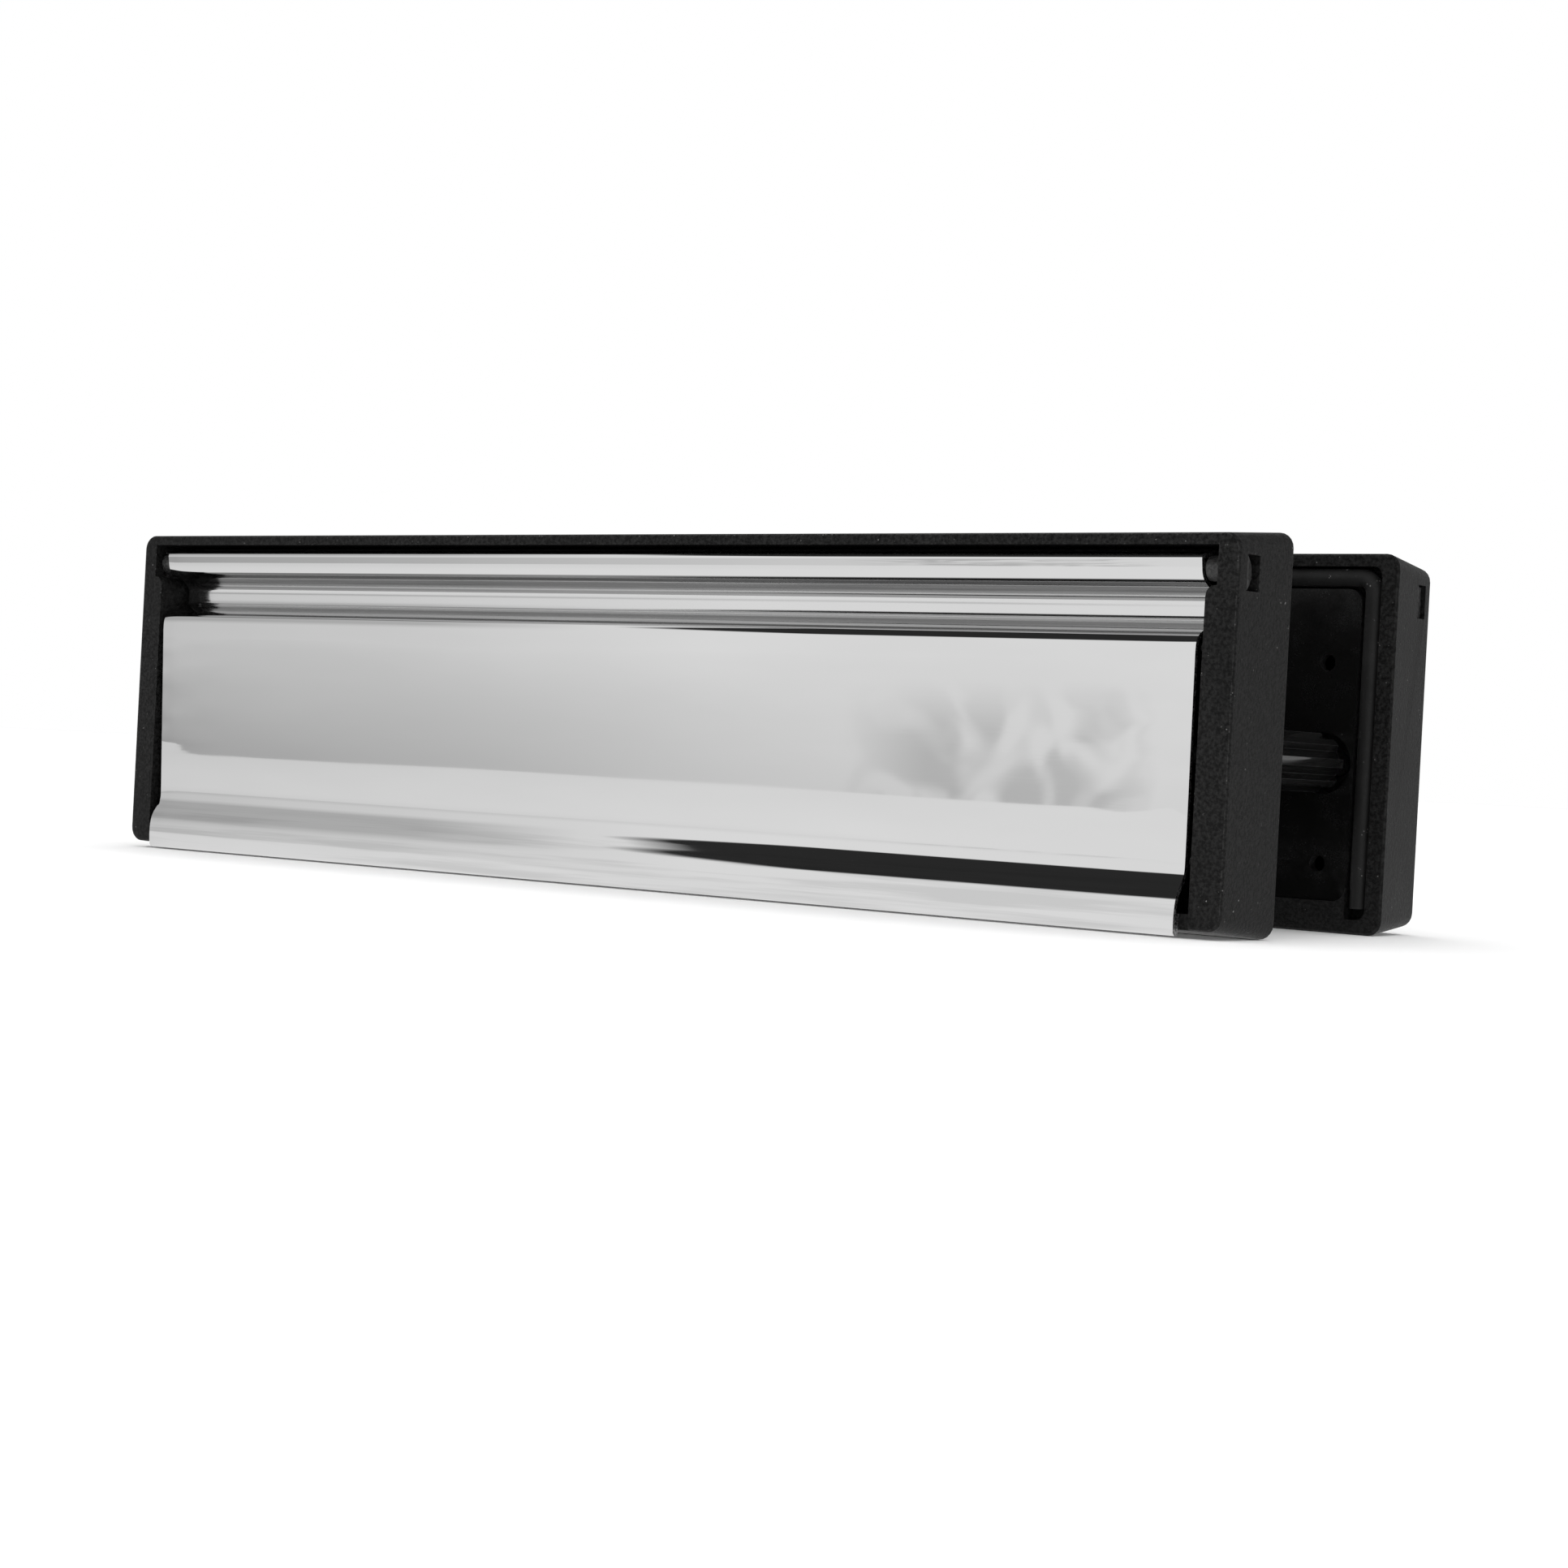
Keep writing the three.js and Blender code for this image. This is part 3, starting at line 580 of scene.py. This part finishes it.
def stage_object(name, mesh, material, **hidden_from):
    mesh.materials.append(material)
    obj = bpy.data.objects.new(name, mesh)
    bpy.context.scene.collection.objects.link(obj)
    for key in hidden_from:
        setattr(obj, key, hidden_from[key])
    return obj


def rectangle(name, corners):
    mesh = bpy.data.meshes.new(name)
    mesh.from_pydata(corners, [], [(0, 1, 2, 3)])
    return mesh


def emitter(name, strength):
    material = bpy.data.materials.new(name)
    material.use_nodes = True
    shader = material.node_tree.nodes["Principled BSDF"]
    shader.inputs["Base Color"].default_value = grey(0)
    shader.inputs["Specular IOR Level"].default_value = 0
    shader.inputs["Emission Color"].default_value = grey(1)
    shader.inputs["Emission Strength"].default_value = strength
    return material


def make_floor():
    """A pale table, and over its near part a glowing card that only reflections see: a painted reflection
    of the table, greyer to the left.
    """
    m = Nodes("floor", Roughness=0.7, Specular_IOR_Level=0.1)
    m.set("Base Color", m.blend(m.ramp(m.noise(3, 3), 0.3, 0.7), grey(0.9), grey(0.92)))
    floor = rectangle("floor", [(-7, -7, 0), (7, -7, 0), (7, 9, 0), (-7, 9, 0)])
    stage_object("floor", floor, m.material, visible_glossy=False)
    edge = -FRONT * MM - 0.286
    height = 0.0002
    corners = [(-3, edge, height), (3, edge, height), (3, 2, height), (-3, 2, height)]
    card = rectangle("glowing card for table reflection", corners)
    # Painted reflection: the card glows grey 0.8 on the left to 0.96 on the right, and dims towards 0.25
    # further back
    glow = Nodes("glowing card for table reflection", Specular_IOR_Level=0, Base_Color=grey(0), Emission_Strength=1.0)
    across, behind, _ = glow.add("ShaderNodeSeparateXYZ", {0: glow.place}).outputs
    ahead = glow.blend(glow.ramp(across, -0.5, -0.05), grey(0.8), grey(0.96))
    glow.set("Emission Color", glow.blend(glow.ramp(behind, 0.06, 0.5, 0.0, 0.75), ahead, grey(0.25)))
    stage_object("glowing card for table reflection", card, glow.material, visible_camera=False, visible_diffuse=False,
                 visible_transmission=False, visible_shadow=False)


def make_backdrop():
    """A white dome that only the camera sees."""
    bm = bmesh.new()
    bmesh.ops.create_icosphere(bm, subdivisions=4, radius=12)
    mesh = bpy.data.meshes.new("backdrop")
    bm.to_mesh(mesh)
    bm.free()
    stage_object("backdrop", mesh, emitter("backdrop white", 1.0), visible_diffuse=False,
                 visible_glossy=False, visible_transmission=False, visible_shadow=False)


def make_light():
    """A very wide soft light from overhead; the tent round it is the world."""
    data = bpy.data.lights.new("overhead", "SUN")
    data.angle = math.radians(110)
    data.energy = 2.8
    obj = bpy.data.objects.new("overhead", data)
    obj.rotation_euler = (math.radians(8), math.radians(-6), 0)
    obj.visible_glossy = False
    bpy.context.scene.collection.objects.link(obj)


def make_world():
    """A pale tent that is greyer low down on the left, with a dark opening high in front and one behind."""
    world = bpy.data.worlds.new("tent")
    world.use_nodes = True
    bpy.context.scene.world = world
    tree = world.node_tree
    background = tree.nodes["Background"]

    def add(kind, links, **settings):
        node = tree.nodes.new(kind)
        for key, value in settings.items():
            setattr(node, key, value)
        for key, value in links.items():
            if isinstance(value, bpy.types.NodeSocket):
                tree.links.new(value, node.inputs[key])
            else:
                node.inputs[key].default_value = value
        return node.outputs[0]

    def operate(operation, a, b):
        return add("ShaderNodeMath", {0: a, 1: b}, operation=operation)

    def product(*values):
        total = values[0]
        for value in values[1:]:
            total = operate("MULTIPLY", total, value)
        return total

    def between(value, low, high, to_low=0.0, to_high=1.0):
        links = {"Value": value, "From Min": low, "From Max": high, "To Min": to_low, "To Max": to_high}
        return add("ShaderNodeMapRange", links, clamp=True)

    def inverse(value):
        return operate("SUBTRACT", 1.0, value)

    direction = tree.nodes.new("ShaderNodeTexCoord").outputs["Generated"]
    split = tree.nodes.new("ShaderNodeSeparateXYZ")
    tree.links.new(direction, split.inputs[0])
    x, y, z = split.outputs
    # The angle about X: 0 looks straight out from the plate, 90 straight up
    tilt = operate("MULTIPLY", operate("ARCTAN2", z, operate("MULTIPLY", y, -1.0)), 180 / math.pi)
    # In front, level with the plate: greyer towards the left and lighter with height
    low = operate("ADD", between(x, -0.76, -0.60, 0.45, 0.79), between(x, -0.60, -0.50, 0.0, 0.13))
    high = between(x, -0.76, -0.62, 0.73, 0.96)
    rise = between(tilt, -4.8, -1.2)
    front = operate("ADD", product(low, inverse(rise)), product(high, rise))
    # Crumpled packing beyond the table's edge
    creases = add("ShaderNodeTexNoise", {"Vector": direction, "Scale": 42.0, "Detail": 1.5,
                                         "Roughness": 0.45, "Distortion": 1.4})
    heap = product(between(x, -0.585, -0.56), between(x, -0.51, -0.495, 1.0, 0.0),
                   between(tilt, -3.2, -2.0, 1.0, 0.0))
    front = operate("SUBTRACT", front, product(between(creases, 0.4, 0.6, 0.26, 0.0), heap))
    # The opening in front, whose left edge is bowed, and dimmer cloth to the left of it
    ahead = between(tilt, 98, 108, 1.0, 0.0)
    bow = operate("POWER", operate("DIVIDE", operate("SUBTRACT", tilt, 58.0), 30.0), 2.0)
    inside = operate("SUBTRACT", x, operate("MULTIPLY", bow, 0.042))
    opening = product(between(tilt, 26, 31), ahead, between(inside, -0.645, -0.628),
                      between(x, 0.45, 0.8, 1.0, 0.35))
    left = between(x, -0.69, -0.65, 1.0, 0.0)
    fade = product(between(tilt, 15, 40, 0.0, 0.3), ahead, left)
    overhead = product(between(tilt, 78, 92, 0.0, 0.9), ahead, between(x, -0.66, -0.60, 1.0, 0.0))
    behind = between(tilt, 152, 160, 1.0, 0.0)
    back = product(between(tilt, 126, 131), behind, between(x, -0.5, -0.3), 0.9)
    shades = product(inverse(back), inverse(product(opening, 0.97)), inverse(fade), inverse(overhead))
    level = product(front, shades)
    colour = add("ShaderNodeCombineColor", {0: level, 1: level, 2: level})
    tree.links.new(colour, background.inputs["Color"])
    background.inputs["Strength"].default_value = 1.0


# ---------- everything ----------

make_camera()
for seed, unit in enumerate(("outer", "inner")):
    make_flap(unit, 3.1 + 11 * seed)
    make_frame(unit)
    make_gasket(unit, 5.3 + seed)
    refined(unit + "_sleeve", ["sleeve"], 0.15)
    refined(unit + "_mouth_seal", ["rubber"], 0.2)
    for side in ("left", "right"):
        refined(f"{unit}_hinge_clip_{side}", ["clip"], 0.15)
        make_spring(unit, side)
for side in ("left", "right"):
    refined("fixing_post_" + side, ["post", "post_painted_edge_highlight"], 0.3, 1)
    refined("post_insert_" + side, ["brass"], 0.1)
    refined("fixing_bolt_" + side, ["bolt"], 0.12)
    refined("bolt_cover_" + side, ["clip"], 0.15)

make_floor()
make_backdrop()
make_light()
make_world()
bpy.context.scene.view_settings.view_transform = "Standard"
